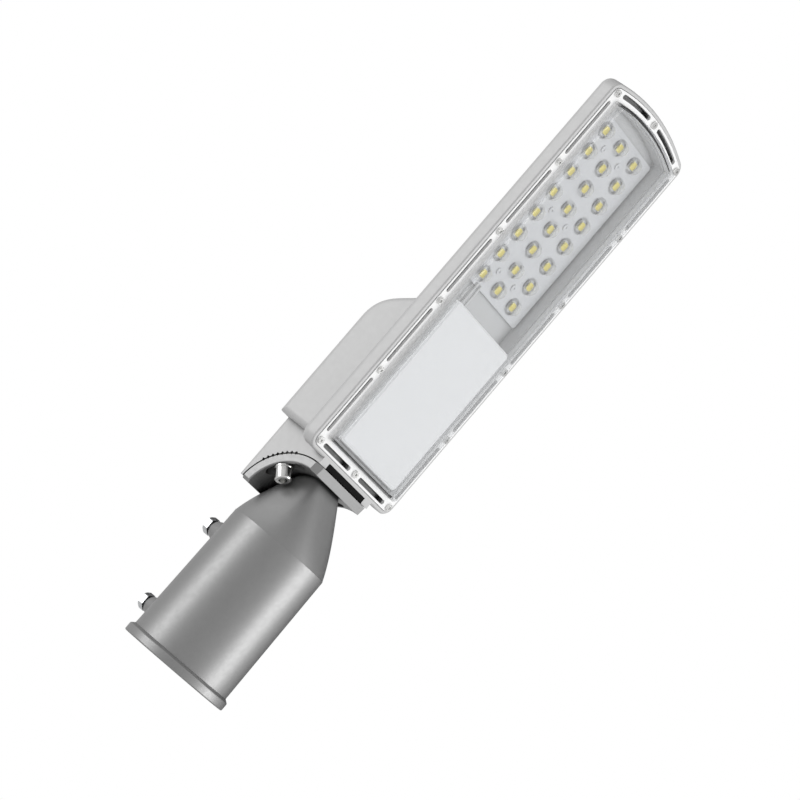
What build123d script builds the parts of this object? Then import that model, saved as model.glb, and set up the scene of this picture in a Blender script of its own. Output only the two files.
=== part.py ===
from build123d import *
import os
from math import asin, cos, degrees, radians, sin, sqrt

# LED street-light head on an adjustable pole spigot. Millimetres.
# Origin: centre of the spigot's mouth. +X: along the pole socket towards the head's tip.
# +Z: up. The light shines towards -Z. -Y is the left side.

# ---- pole socket ----
POLE_DIAMETER = 60.0
POLE_CLEARANCE = 0.5
SOCKET_DEPTH = 88.0
TUBE_LENGTH = 94.5
MOUTH_WALL = 3.75
SEAM_WALL = 2.5
LIP_PROUD = 2.4
LIP_THICKNESS = 5.2
LIP_SLOPE = 1.8
LIP_ROUND = 0.9
SOCKET_R = POLE_DIAMETER / 2 + POLE_CLEARANCE
MOUTH_R = SOCKET_R + MOUTH_WALL
SEAM_R = SOCKET_R + SEAM_WALL

# ---- pole clamp bolts, M6 ----
POLE_BOLT_X = (20.0, 78.0)
POLE_BOLT_R = 3.0
POLE_BOLT_FLATS = 10.0
POLE_BOLT_HEAD = 4.3
POLE_BOLT_GAP = 1.6
POLE_BOLT_TIP_GAP = 0.3
POLE_BOLT_CROWN = 1.12
POLE_BOLT_CHAMFER = 0.8
POLE_BOSS_HEIGHT = 9.2
POLE_BOSS_TOP_R = 5.3
POLE_BOSS_BASE_R = 10.0
THREAD_CLEARANCE = 0.05

# ---- tilt joint: a curved saddle on the spigot in a curved seat on the head ----
NECK_LENGTH = 39.5
NECK_OVERLAP = 0.2
NECK_STEP = 0.1
NECK_BULGE = 0.9
NECK_SQUARENESS = 1.0
SECTION_POINTS = 32
NECK_END_HALF_WIDTH = 15.5
NECK_END_HALF_HEIGHT = 9.5
NECK_END_RISE = 4.0
NECK_WALL = 2.8
NECK_MARGIN = 4.4
SADDLE_R = 29.2
SADDLE_THICKNESS = 5.8
SADDLE_ROOT = 1.5
PIVOT_X = TUBE_LENGTH + NECK_LENGTH + NECK_MARGIN - SADDLE_R
PIVOT_Z = -5.0
SADDLE_WIDTH = 63.0
SADDLE_START = -6.5
SADDLE_END = 88.0
SADDLE_CORNER = 4.0
SADDLE_ROUND = 0.9
SADDLE_OUTER_R = SADDLE_R + SADDLE_THICKNESS
SEAT_GAP = 0.3
SEAT_R = SADDLE_OUTER_R + SEAT_GAP
SEAT_END = 86.0
TILT_DOWN = 20.0
TILT_UP = 15.0
TOOTH_PITCH = 5.0
TOOTH_COUNT = 8
TOOTH_START = 26.0
TOOTH_SIDE = 1.5
CABLE_WAY_SIDE = 4.0
CABLE_WAY_ROOF = 2.2
CABLE_WAY_REACH = 6.0
POLE_STOP_R = SEAM_R - NECK_WALL - 2.0

# ---- tilt screws, M6 socket cap, with a spring washer and a flat washer ----
TILT_SCREW_ANGLE = 43.5
TILT_SCREW_EDGE = 5.5
TILT_SCREW_R = 3.0
TILT_HEAD_R = 5.0
TILT_HEAD = 6.0
TILT_SHANK = 20.0
TILT_HOLE_DEPTH = 13.0
TILT_SLOT_CLEARANCE = 0.3
WASHER_R = 5.5
WASHER_THICKNESS = 1.0
SPRING_WASHER_R = 5.0
SPRING_WASHER_THICKNESS = 1.5
SPRING_WASHER_BORE_GAP = 0.1
SPRING_WASHER_CUT = (7.0, 0.6, 6.0)
SPRING_WASHER_LEAN = 25.0
WASHER_BORE_GAP = 0.2
TILT_SOCKET_FLATS = 5.0
TILT_SCREW_Y = SADDLE_WIDTH / 2 - TILT_SCREW_EDGE
WASHER_SEAT_GAP = 0.03
WASHER_SEAT_R = sqrt(SADDLE_R**2 - WASHER_R**2) - WASHER_SEAT_GAP
TILT_HEAD_SEAT_R = WASHER_SEAT_R - WASHER_THICKNESS - SPRING_WASHER_THICKNESS

# ---- head, plan view ----
HEAD_LENGTH = 281.0
HEAD_WIDTH = 104.0
BASE_GAP = 3.9
CORNER_R = 7.5
SMALLEST_CORNER_R = 2.0
TIP_RADIUS = 185.0
HEAD_BASE = PIVOT_X + SEAT_R + BASE_GAP
HEAD_TIP = HEAD_BASE + HEAD_LENGTH

# ---- head, levels ----
FLANGE_FACE = PIVOT_Z - 2.7
FLANGE_THICKNESS = 1.8
LIP_DROP = 0.5
RIM_BACK = 4.0
RIM_FILLET = 4.5
RIM_LIP_FILLET = 1.2
BACK_FILLET = 1.5
BOARD_THICKNESS = 1.6
PAD_THICKNESS = 0.5
PAD_INSET = 1.0
BOARD_DEPTH = 8.4
FLOOR_THICKNESS = 3.7
RIM_FACE = FLANGE_FACE + FLANGE_THICKNESS
HEAD_LIP = FLANGE_FACE + LIP_DROP
BOARD_FACE = FLANGE_FACE + BOARD_DEPTH
BAY_FLOOR = BOARD_FACE + BOARD_THICKNESS + PAD_THICKNESS
BACK_FACE = BAY_FLOOR + FLOOR_THICKNESS
BAY_INSET = 13.0
BACK_INSET = 9.0

# ---- driver box on the back, and the arm block over the seat ----
BOX_INSET = 5.9
BOX_FLAT = HEAD_LENGTH - 209.0
BOX_RAMP = 32.0
BOX_WIDTH = HEAD_WIDTH - 20.0
BOX_TOP = 33.3
BOX_WALL = 3.0
BOX_FILLET = 4.0
BOX_SINK = 0.5
ARM_FILLET = 3.0
ARM_LAP = 2.0
BOX_START = HEAD_BASE + BOX_INSET
BOX_INNER_START = BOX_START + BOX_WALL
BOX_INNER_TOP = BOX_TOP - BOX_WALL
BOX_FOOT = BOX_START + BOX_FLAT + BOX_RAMP
ARM_POCKET_WIDTH = 40.0
ARM_POCKET_TOP = 26.0
ARM_WALL = 4.0
ARM_POCKET_START = 25.0

# ---- cooling fins ----
FIN_COUNT = 9
FIN_FIELD = HEAD_WIDTH - 35.2
FIN_PITCH = FIN_FIELD / (FIN_COUNT - 1)
FIN_THICKNESS = 2.2
FIN_HEIGHT = 6.8
FIN_START_GAP = 14.0
FIN_TIP_GAP = 26.0

# ---- clear cover ----
COVER_GAP = 0.3
COVER_INSET = 2.7
DOME_INSET = 9.7
DOME_WALL = 2.0
DOME_HEIGHT = 5.9
DOME_FILLET = 3.0
SCREW_INSET = 5.9
SLOT_INSET = 5.6
SLOT_WIDTH = 3.0
SLOT_DEPTH = 4.5
SLOT_END = 6.3
GASKET_INSET = 8.4
GASKET_WIDTH = 2.6
GASKET_DEPTH = 1.4
GASKET_CLEARANCE = 0.1

# ---- cover screws, M2.5 button head ----
COVER_SCREW_R = 1.25
COVER_SCREW_HEAD_R = 2.3
COVER_SCREW_HEAD = 1.4
COVER_SCREW_LENGTH = 8.0
SIDE_SCREWS = 6
SCREW_CLEARANCE = 0.15
SCREW_HEAD_CHAMFER = 0.1
SCREW_SOCKET_DEPTH = 0.55
COVER_SCREW_FLATS = 1.5
COVER_SCREW_HOLE = 7.0

# ---- LED board ----
LED_ROWS = 8
LED_COLUMNS = 3
LED_PITCH_X = 15.75
LED_PITCH_Y = 21.3
LED_TIP_MARGIN = 28.6
BOARD_MARGIN = 8.0
BOARD_SIDE_GAP = 2.0
BOARD_CORNER = 2.0
BOARD_HALF_WIDTH = HEAD_WIDTH / 2 - BAY_INSET - BOARD_SIDE_GAP
CHIP_SIZE = 5.0
CHIP_HEIGHT = 1.0
LENS_R = 5.6
LENS_HEIGHT = 6.0
LENS_HOLLOW_R = 4.0
LENS_HOLLOW = 2.0
LENS_FLANGE = 1.0
LENS_STEP = 0.4
LENS_HOLLOW_ROUND = 1.2
LED_LAST = HEAD_TIP - LED_TIP_MARGIN
LED_FIRST = LED_LAST - (LED_ROWS - 1) * LED_PITCH_X
BOARD_START = LED_FIRST - BOARD_MARGIN
BOARD_END = LED_LAST + BOARD_MARGIN
BOARD_SCREW_R = 1.25
BOARD_SCREW_HEAD_R = 2.25
BOARD_SCREW_HEAD = 0.9
BOARD_SCREW_LENGTH = 5.0
BOARD_SCREW_HOLE = 3.2
BOARD_SCREW_FLATS = 1.5
BOARD_SCREW_GAPS = (0, 3, 6)

# ---- driver plate ----
PLATE_START = HEAD_BASE + 14.2
PLATE_GAP = 14.95
PLATE_END = BOARD_START - PLATE_GAP
PLATE_LENGTH = PLATE_END - PLATE_START
PLATE_SIDE_GAP = 3.1
PLATE_WIDTH = HEAD_WIDTH - 2 * (BAY_INSET + PLATE_SIDE_GAP)
PLATE_PROUD = 3.8
PLATE_WALL = 1.5
PLATE_BEVEL = 1.2
PLATE_CORNER = 2.5
OPENING_LEDGE = 5.4
OPENING_FOOT_GAP = 5.0
OPENING_SIDE = 2.9
OPENING_WIDTH = PLATE_WIDTH - 2 * OPENING_SIDE
LEG_WIDTH = 12.0
LEG_THICKNESS = 1.6
LEG_GAP = 0.2
LEG_NOSE = 1.0
LEG_NOSE_GAP = 0.1
LEG_NOSE_HEIGHT = 2.1
LEG_PLACE = 16.8
LEAD_NOTCH_WIDTH = 10.0
LEAD_NOTCH_HEIGHT = 4.8
PLATE_FACE = FLANGE_FACE - PLATE_PROUD

# ---- what the driver box holds ----
DRIVER_START = BOX_INNER_START + 12.7
DRIVER_LENGTH = 56.0
DRIVER_WIDTH = 38.0
DRIVER_HEIGHT = 15.0
DRIVER_SIDE_GAP = 3.0
DRIVER_Y = DRIVER_SIDE_GAP + DRIVER_WIDTH / 2 + BOX_WALL - BOX_WIDTH / 2
DRIVER_DROP = 6.3
DRIVER_TOP = BOX_INNER_TOP - DRIVER_DROP
DRIVER_ROUND = 1.0
TAB_LENGTH = 6.6
TAB_WIDTH = 10.0
TAB_THICKNESS = 2.0
BOSS_R = 4.0
M3_R = 1.5
M3_HEAD_R = 2.8
M3_HEAD = 1.8
M3_LENGTH = 8.0
M3_HOLE = 7.0
M3_FLATS = 2.0
M4_R = 2.0
M4_HEAD_R = 3.8
M4_HEAD = 2.6
M4_LENGTH = 7.0
M4_HOLE = 8.0
M4_FLATS = 2.5
EARTH_SETBACK = 6.0
EARTH_Y = ARM_POCKET_WIDTH / 2 + 4.0
MODULE_SIDE_GAP = 5.0
MODULE_WIDTH = 26.0
MODULE_Y_HIGH = BOX_WIDTH / 2 - BOX_WALL - MODULE_SIDE_GAP
MODULE_Y_LOW = MODULE_Y_HIGH - MODULE_WIDTH
MODULE_SLIM = 2.0
TERMINAL_START = DRIVER_START - 2.0
TERMINAL_LENGTH = 16.0
TERMINAL_HEIGHT = 12.0
TERMINAL_ROUND = 1.5
TERMINAL_WAYS = 3
TERMINAL_PITCH = 8.0
TERMINAL_FIRST_Y = MODULE_Y_LOW + 5.0
TERMINAL_WAY_R = 2.2
TERMINAL_WAY_DEPTH = 5.0
SURGE_START = DRIVER_START + 34.0
SURGE_LENGTH = 22.0
SURGE_HEIGHT = 13.5
SURGE_GAP = 1.5
SURGE_ROUND = 2.0
LEAD_R = 0.8
LEAD_SPACING = 4.0
LEAD_STRAIGHT = 12.0
LEAD_DROP = 12.0
LEAD_BENDS = (6.0, 6.0, 20.0)
LEAD_REST = 4.0
LEAD_END_INSET = 2.0
LEAD_LIFT = 0.6
LEAD_TOUCH_GAP = 0.05
MAINS_R = 0.9
MAINS_TURN = 8.0
MAINS_SPACING = 4.0
MAINS_BEND = 5.0
MAINS_DROP = 3.5
GROMMET_HOLE_R = 7.0
GROMMET_BORE_R = 3.6
GROMMET_FLANGE_R = 8.6
GROMMET_FLANGE = 1.5
GROMMET_TAPER = 1.0
GROMMET_Z = 15.8
PRESS_CLEARANCE = 0.05
VENT_HOLE_R = 4.0
VENT_CAP_R = 6.2
VENT_CAP = 3.0
VENT_CAP_ROUND = 1.0
VENT_SETBACK = 46.0
VENT_DROP = 14.0
VENT_SLITS = 6
VENT_SLIT_R = 0.9
VENT_SLIT_HEIGHT = 1.2
SEAL_WIDTH = 47.5
SEAL_TOP = 0.0
SEAL_CLEARANCE = 0.2


def sector(inner, outer, start, end):
    """Side-view face between two arcs about the tilt axis, angles in degrees up from +X."""
    arcs = [CenterArc((PIVOT_X, PIVOT_Z), r, start, end - start) for r in (inner, outer)]
    ends = [Line(arcs[0] @ t, arcs[1] @ t) for t in (0, 1)]
    return make_face(arcs + ends)


def across(face, half_width):
    """Side-view face made into a solid across the whole width."""
    return extrude(Plane.XZ * face, half_width, both=True)


def slab(face, low, high):
    return Pos(0, 0, low) * extrude(face, high - low)


def block(low, high):
    """Box between two corners."""
    size = [b - a for a, b in zip(low, high)]
    return Pos(*[(a + b) / 2 for a, b in zip(low, high)]) * Box(*size)


def radial(angle, radius, y):
    """Plane on a radius about the tilt axis. Its z axis points outwards, its x axis along +Y."""
    a = radians(angle)
    spot = (PIVOT_X + radius * cos(a), y, PIVOT_Z + radius * sin(a))
    return Plane(origin=spot, x_dir=(0, 1, 0), z_dir=(cos(a), 0, sin(a)))


def outline(inset):
    """Plan-view face of the head, moved inwards by inset."""
    half = HEAD_WIDTH / 2 - inset
    start = HEAD_BASE + inset
    end = tip_x(inset, half)
    arc = ThreePointArc((end, -half), (HEAD_TIP - inset, 0), (end, half))
    sides = [Line((start, -half), (end, -half)), Line((end, half), (start, half))]
    face = make_face(sides + [arc, Line((start, half), (start, -half))])
    return fillet(face.vertices(), max(CORNER_R - inset, SMALLEST_CORNER_R))


def tip_x(inset, y):
    """X of the tip's arc, moved inwards by inset, at a distance y from the middle."""
    return HEAD_TIP - TIP_RADIUS + sqrt((TIP_RADIUS - inset) ** 2 - y**2)


def screw(shank_r, length, head_r, head, socket_flats):
    """Screw with a hex socket: head below z = 0, shank above."""
    body = Pos(0, 0, length / 2) * Cylinder(shank_r, length)
    top = Pos(0, 0, -head / 2) * Cylinder(head_r, head)
    top = chamfer(top.edges().sort_by(Axis.Z)[0], head * SCREW_HEAD_CHAMFER)
    socket = RegularPolygon(socket_flats / 2, 6, major_radius=False)
    return body + top - Pos(0, 0, -head) * extrude(socket, head * SCREW_SOCKET_DEPTH)


def ring(outer, inner, height):
    """Washer from z = 0 upwards."""
    return Pos(0, 0, height / 2) * (Cylinder(outer, height) - Cylinder(inner, height))


def neck_section(x, wall):
    """Neck's cross-section at x: round at the tube, a flat rounded oblong at the saddle."""
    start_r = SEAM_R - NECK_STEP
    t = max((x - TUBE_LENGTH) / NECK_LENGTH, 0)
    half_y = start_r - (start_r - NECK_END_HALF_WIDTH) * t**NECK_BULGE - wall
    half_z = start_r - (start_r - NECK_END_HALF_HEIGHT) * t - wall
    power = 1 / (1 + NECK_SQUARENESS * t)
    points = []
    for i in range(SECTION_POINTS):
        a = radians(360 * (i + 0.5) / SECTION_POINTS)
        y = half_y * abs(cos(a)) ** power * (1 if cos(a) > 0 else -1)
        z = half_z * abs(sin(a)) ** power * (1 if sin(a) > 0 else -1)
        points.append((y, z))
    plane = Plane(origin=(x, 0, NECK_END_RISE * t), x_dir=(0, 1, 0), z_dir=(1, 0, 0))
    return plane * make_face(Spline(*points, periodic=True))


def pole_bolt_plane(x, radius):
    """Plane on the socket's top side. Its z axis points inwards."""
    return Plane(origin=(x, 0, radius), x_dir=(1, 0, 0), z_dir=(0, 0, -1))


def cable_way():
    """The cable's way from the neck through the saddle."""
    half_y = NECK_END_HALF_WIDTH - NECK_WALL - CABLE_WAY_SIDE
    half_z = NECK_END_HALF_HEIGHT - NECK_WALL - CABLE_WAY_ROOF
    start = TUBE_LENGTH + NECK_LENGTH - CABLE_WAY_REACH
    end = PIVOT_X + SADDLE_OUTER_R + 1.0
    low = (start, -half_y, NECK_END_RISE - half_z)
    return block(low, (end, half_y, NECK_END_RISE + half_z))


def make_tube():
    lip_r = MOUTH_R + LIP_PROUD
    lip = [(0, 0), (0, lip_r), (LIP_THICKNESS, lip_r), (LIP_THICKNESS + LIP_SLOPE, MOUTH_R)]
    side = lip + [(TUBE_LENGTH, SEAM_R), (TUBE_LENGTH, 0)]
    tube = revolve(make_face(Polyline(*side, close=True)), Axis.X)
    rim = tube.edges().filter_by(GeomType.CIRCLE).filter_by(lambda e: abs(e.radius - lip_r) < 0.01)
    return fillet(rim, LIP_ROUND)


def make_saddle():
    plate = across(sector(SADDLE_R, SADDLE_OUTER_R, SADDLE_START, SADDLE_END), SADDLE_WIDTH / 2)
    for angle, size in ((SADDLE_START, SADDLE_CORNER), (SADDLE_END, SADDLE_CORNER / 2)):
        for side in (-1, 1):
            middle = radial(angle, (SADDLE_R + SADDLE_OUTER_R) / 2, side * SADDLE_WIDTH / 2).origin
            corner = plate.edges().sort_by_distance(middle)[0]
            plate = chamfer(corner, size)
    long_edges = plate.edges().filter_by(GeomType.CIRCLE)
    plate = fillet(long_edges, SADDLE_ROUND)
    for i in range(TOOTH_COUNT):
        tooth = radial(TOOTH_START + i * TOOTH_PITCH, SADDLE_OUTER_R, 0) * Rot(45, 0, 0)
        plate -= tooth * Box(SADDLE_WIDTH + 2, TOOTH_SIDE, TOOTH_SIDE)
    return plate - tilt_slots()


def tilt_slots():
    """Long slots in the saddle, one for each tilt screw, as long as the tilt needs."""
    half = TILT_SCREW_R + TILT_SLOT_CLEARANCE
    low = TILT_SCREW_ANGLE - TILT_DOWN
    high = TILT_SCREW_ANGLE + TILT_UP
    cut = None
    for side in (-1, 1):
        band = across(sector(SADDLE_R - 2, SADDLE_OUTER_R + 2, low, high), half)
        band = Pos(0, side * TILT_SCREW_Y, 0) * band
        for angle in (low - 1, high + 1):
            hole = radial(angle, (SADDLE_R + SADDLE_OUTER_R) / 2, side * TILT_SCREW_Y)
            band += hole * Cylinder(half, SADDLE_THICKNESS + 3)
        cut = band if cut is None else cut + band
    return cut


def make_spigot():
    stations = [TUBE_LENGTH + NECK_LENGTH * k / 4 for k in range(5)]
    end = PIVOT_X + SADDLE_R + SADDLE_ROOT
    neck = loft([neck_section(x, 0) for x in [TUBE_LENGTH - NECK_OVERLAP] + stations[1:] + [end]])
    inner = loft([neck_section(x, NECK_WALL) for x in stations[:4] + [stations[4] - NECK_WALL]])
    in_front = Pos(PIVOT_X, 0, PIVOT_Z) * Rot(90, 0, 0) * Cylinder(SADDLE_R + SADDLE_ROOT, SADDLE_WIDTH)
    behind = block((0, -MOUTH_R, -MOUTH_R), (PIVOT_X, MOUTH_R, MOUTH_R))
    body = make_tube() + (neck & (in_front + behind)) + make_saddle()
    for x in POLE_BOLT_X:
        top = MOUTH_R + POLE_BOSS_HEIGHT
        boss = Cone(POLE_BOSS_TOP_R, POLE_BOSS_BASE_R, top - SOCKET_R)
        body += pole_bolt_plane(x, (top + SOCKET_R) / 2) * boss
    body -= Pos(SOCKET_DEPTH / 2, 0, 0) * Rot(0, 90, 0) * Cylinder(SOCKET_R, SOCKET_DEPTH)
    stop = Plane.YZ.offset(SOCKET_DEPTH) * Circle(POLE_STOP_R)
    body -= extrude(stop, TUBE_LENGTH - SOCKET_DEPTH + NECK_OVERLAP)
    body -= inner
    body -= cable_way()
    for x in POLE_BOLT_X:
        body -= pole_bolt_plane(x, MOUTH_R) * Cylinder(POLE_BOLT_R + THREAD_CLEARANCE, 40)
    return body


def make_pole_bolt(x):
    seat = MOUTH_R + POLE_BOSS_HEIGHT + POLE_BOLT_GAP
    length = seat - SOCKET_R - POLE_BOLT_TIP_GAP
    head = extrude(RegularPolygon(POLE_BOLT_FLATS / 2, 6, major_radius=False), -POLE_BOLT_HEAD)
    crown = Pos(0, 0, -POLE_BOLT_HEAD / 2) * Cylinder(POLE_BOLT_FLATS / 2 * POLE_BOLT_CROWN, POLE_BOLT_HEAD)
    crown = chamfer(crown.edges().group_by(Axis.Z)[0], POLE_BOLT_CHAMFER)
    shank = Pos(0, 0, length / 2) * Cylinder(POLE_BOLT_R, length)
    return pole_bolt_plane(x, seat) * ((head & crown) + shank)


def arm_profile():
    """Side view of the block between the seat and the driver box."""
    low_angle = degrees(asin((HEAD_LIP - PIVOT_Z) / SEAT_R))
    seat = CenterArc((PIVOT_X, PIVOT_Z), SEAT_R, low_angle, SEAT_END - low_angle)
    bottom, top = seat @ 0, seat @ 1
    far = BOX_START + ARM_LAP
    rest = Polyline(top, (top.X, BOX_TOP), (far, BOX_TOP), (far, bottom.Y), bottom)
    return make_face([seat, rest])


def box_profile(inset, floor, foot):
    """Side view of the driver box: flat top, then a rounded ramp down to a foot on the back."""
    start = BOX_START + inset
    flat = BOX_START + BOX_FLAT - inset * 0.5
    end = BOX_FOOT - inset * 1.4
    top = BOX_TOP - inset
    ramp = Spline((flat, top), (end, foot), tangents=[(1, 0), (1, -1)])
    rest = Polyline((end, foot), (end, floor), (start, floor), (start, top), (flat, top))
    return make_face([ramp, rest])


def screw_spots():
    """Plan-view places of the cover screws, going round the rim."""
    y = HEAD_WIDTH / 2 - SCREW_INSET
    first = HEAD_BASE + SCREW_INSET
    last = tip_x(SCREW_INSET, y)
    row = [first + i * (last - first) / (SIDE_SCREWS - 1) for i in range(SIDE_SCREWS)]
    near = [(x, -y) for x in row]
    far = [(x, y) for x in reversed(row)]
    return near + [(HEAD_TIP - SCREW_INSET, 0)] + far + [(first, 0)]


def rim_slots():
    """Plan-view slots between neighbouring screws."""
    y = HEAD_WIDTH / 2 - SLOT_INSET
    spots = screw_spots()
    row = [x for x, _ in spots[:SIDE_SCREWS]]
    slots = Sketch()
    for a, b in zip(row, row[1:]):
        for side in (-1, 1):
            length = b - a - 2 * SLOT_END
            slots += Pos((a + b) / 2, side * y) * SlotOverall(length, SLOT_WIDTH)
    for side in (-1, 1):
        reach = y - 2 * SLOT_END
        middle = side * y / 2
        slots += Pos(HEAD_BASE + SLOT_INSET, middle) * SlotOverall(reach, SLOT_WIDTH, rotation=90)
        ends = [side * (y / 2 + k * (reach - SLOT_WIDTH) / 2) for k in (-1, 0, 1)]
        arc = ThreePointArc(*[(tip_x(SLOT_INSET, e), e) for e in ends])
        slots += SlotArc(arc, SLOT_WIDTH)
    return slots


def driver_bosses():
    """Places of the driver's two screws."""
    ends = (DRIVER_START - TAB_LENGTH / 2, DRIVER_START + DRIVER_LENGTH + TAB_LENGTH / 2)
    return [(x, DRIVER_Y) for x in ends]


def earth_spot():
    return (BOX_INNER_START + EARTH_SETBACK, EARTH_Y)


def vent_plane(y):
    """Plane across the driver box's right wall. Its z axis points outwards."""
    spot = (BOX_START + VENT_SETBACK, y, BOX_TOP - VENT_DROP)
    return Plane(origin=spot, x_dir=(1, 0, 0), z_dir=(0, 1, 0))


def board_screw_spots():
    rows = [LED_FIRST + LED_PITCH_X * (k + 0.5) for k in BOARD_SCREW_GAPS]
    return [(x, side * LED_PITCH_Y / 2) for x in rows for side in (-1, 1)]


def led_spots():
    middle = (LED_COLUMNS - 1) / 2
    rows = [LED_FIRST + i * LED_PITCH_X for i in range(LED_ROWS)]
    return [(x, (k - middle) * LED_PITCH_Y) for x in rows for k in range(LED_COLUMNS)]


def opening_ends():
    """Start and end, along X, of the opening between the bay and the driver box."""
    return PLATE_START + OPENING_LEDGE, BOX_FOOT - OPENING_FOOT_GAP


def make_shell():
    rim = slab(outline(0), HEAD_LIP, RIM_BACK)
    rim = fillet(rim.faces().sort_by(Axis.Z)[-1].edges(), RIM_FILLET)
    rim = fillet(rim.faces().sort_by(Axis.Z)[0].edges(), RIM_LIP_FILLET)
    back = slab(outline(BACK_INSET), 0, BACK_FACE)
    back = fillet(back.faces().sort_by(Axis.Z)[-1].edges(), BACK_FILLET)
    box = across(box_profile(0, 0, BACK_FACE - BOX_SINK), BOX_WIDTH / 2)
    sides = box.faces().filter_by(Axis.Y)
    soft = [e for f in sides for e in f.edges() if e.center().Z > BACK_FACE]
    box = fillet(soft, BOX_FILLET)
    arm = across(arm_profile(), SADDLE_WIDTH / 2)
    top = arm.faces().sort_by(Axis.Z)[-1]
    arm = fillet(top.edges().filter_by(Axis.X), ARM_FILLET)
    shell = rim + back + box + arm
    for i in range(FIN_COUNT):
        shell += make_fin((i - (FIN_COUNT - 1) / 2) * FIN_PITCH)
    return shell


def make_fin(y):
    """Cooling fin on the back, sloped at both ends."""
    start = BOX_FOOT + FIN_START_GAP
    end = tip_x(FIN_TIP_GAP, y)
    top = BACK_FACE + FIN_HEIGHT
    run = [(start, BACK_FACE - 1), (start + FIN_HEIGHT, top)]
    run += [(end - FIN_HEIGHT, top), (end, BACK_FACE - 1)]
    return Pos(0, y, 0) * across(make_face(Polyline(*run, close=True)), FIN_THICKNESS / 2)


def cut_bay(body):
    """Cuts the cover's recess, the LED bay, the driver box and the opening between them."""
    body -= slab(outline(COVER_INSET - COVER_GAP), HEAD_LIP - 1, RIM_FACE)
    body -= slab(outline(BAY_INSET), RIM_FACE - 1, BAY_FLOOR)
    body -= slab(rim_slots(), RIM_FACE - 1, RIM_FACE + SLOT_DEPTH)
    groove = outline(GASKET_INSET) - outline(GASKET_INSET + GASKET_WIDTH)
    body -= slab(groove, RIM_FACE - 1, RIM_FACE + GASKET_DEPTH)
    cavity = box_profile(BOX_WALL, BACK_FACE, BACK_FACE + 1)
    body -= across(cavity, BOX_WIDTH / 2 - BOX_WALL)
    low, high = opening_ends()
    half = OPENING_WIDTH / 2
    return body - block((low, -half, BAY_FLOOR - 1), (high, half, BACK_FACE + 1))


def cut_arm(body):
    """Cuts the arm's pocket, the seal's gap, the grommet's hole, the teeth and the screw holes."""
    start = PIVOT_X + ARM_POCKET_START
    end = BOX_INNER_START - ARM_WALL
    half = ARM_POCKET_WIDTH / 2
    body -= block((start, -half, SEAL_TOP), (end, half, ARM_POCKET_TOP))
    body -= block((start, -SEAL_WIDTH / 2, HEAD_LIP - 2), (HEAD_BASE, SEAL_WIDTH / 2, SEAL_TOP))
    hole = Rot(0, 90, 0) * Cylinder(GROMMET_HOLE_R, 2 * ARM_WALL + 4)
    body -= Pos(end, 0, GROMMET_Z) * hole
    for i in range(TOOTH_COUNT):
        tooth = radial(TOOTH_START + i * TOOTH_PITCH, SEAT_R, 0) * Rot(45, 0, 0)
        body -= tooth * Box(SADDLE_WIDTH + 2, TOOTH_SIDE, TOOTH_SIDE)
    for side in (-1, 1):
        hole = radial(TILT_SCREW_ANGLE, SEAT_R, side * TILT_SCREW_Y)
        body -= hole * Cylinder(TILT_SCREW_R + THREAD_CLEARANCE, 2 * TILT_HOLE_DEPTH)
    return body


def thread_hole(x, y, low, radius, depth):
    return Pos(x, y, low + depth / 2) * Cylinder(radius + THREAD_CLEARANCE, depth)


def make_housing():
    body = cut_arm(cut_bay(make_shell()))
    for x, y in screw_spots():
        body -= thread_hole(x, y, RIM_FACE, COVER_SCREW_R, COVER_SCREW_HOLE)
    for x, y in board_screw_spots():
        body -= thread_hole(x, y, BAY_FLOOR, BOARD_SCREW_R, BOARD_SCREW_HOLE)
    for x, y in driver_bosses():
        body += block_boss(x, y, DRIVER_TOP)
        body -= thread_hole(x, y, DRIVER_TOP, M3_R, M3_HOLE)
    x, y = earth_spot()
    body += block_boss(x, y, DRIVER_TOP)
    body -= thread_hole(x, y, DRIVER_TOP, M4_R, M4_HOLE)
    return body - vent_plane(BOX_WIDTH / 2) * Cylinder(VENT_HOLE_R, 3 * BOX_WALL)


def block_boss(x, y, low):
    """Round boss hanging from the driver box's roof."""
    high = BOX_TOP - BOX_WALL / 2
    return Pos(x, y, (low + high) / 2) * Cylinder(BOSS_R, high - low)


def make_clear_cover():
    cover = slab(outline(COVER_INSET), FLANGE_FACE, RIM_FACE)
    dome = slab(outline(DOME_INSET), FLANGE_FACE - DOME_HEIGHT, RIM_FACE)
    dome = fillet(dome.faces().sort_by(Axis.Z)[0].edges(), DOME_FILLET)
    ceiling = FLANGE_FACE - DOME_HEIGHT + DOME_WALL
    hollow = slab(outline(DOME_INSET + DOME_WALL), ceiling, RIM_FACE + 1)
    hollow = fillet(hollow.faces().sort_by(Axis.Z)[0].edges(), DOME_FILLET - DOME_WALL / 2)
    cover = cover + dome - hollow
    cover -= slab(rim_slots(), FLANGE_FACE - 1, RIM_FACE + 1)
    for x, y in screw_spots():
        hole = Cylinder(COVER_SCREW_R + SCREW_CLEARANCE, 4 * FLANGE_THICKNESS)
        cover -= Pos(x, y, FLANGE_FACE) * hole
    return cover


def make_gasket():
    outer = outline(GASKET_INSET + GASKET_CLEARANCE)
    inner = outline(GASKET_INSET + GASKET_WIDTH - GASKET_CLEARANCE)
    return slab(outer - inner, RIM_FACE, RIM_FACE + GASKET_DEPTH)


def board_outline(margin):
    """Plan-view face of the LED board, made larger by margin all round."""
    length = BOARD_END - BOARD_START + 2 * margin
    face = Rectangle(length, 2 * (BOARD_HALF_WIDTH + margin))
    face = Pos((BOARD_START + BOARD_END) / 2, 0) * fillet(face.vertices(), BOARD_CORNER)
    for x, y in board_screw_spots():
        face -= Pos(x, y) * Circle(BOARD_SCREW_R + SCREW_CLEARANCE)
    return face


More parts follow.
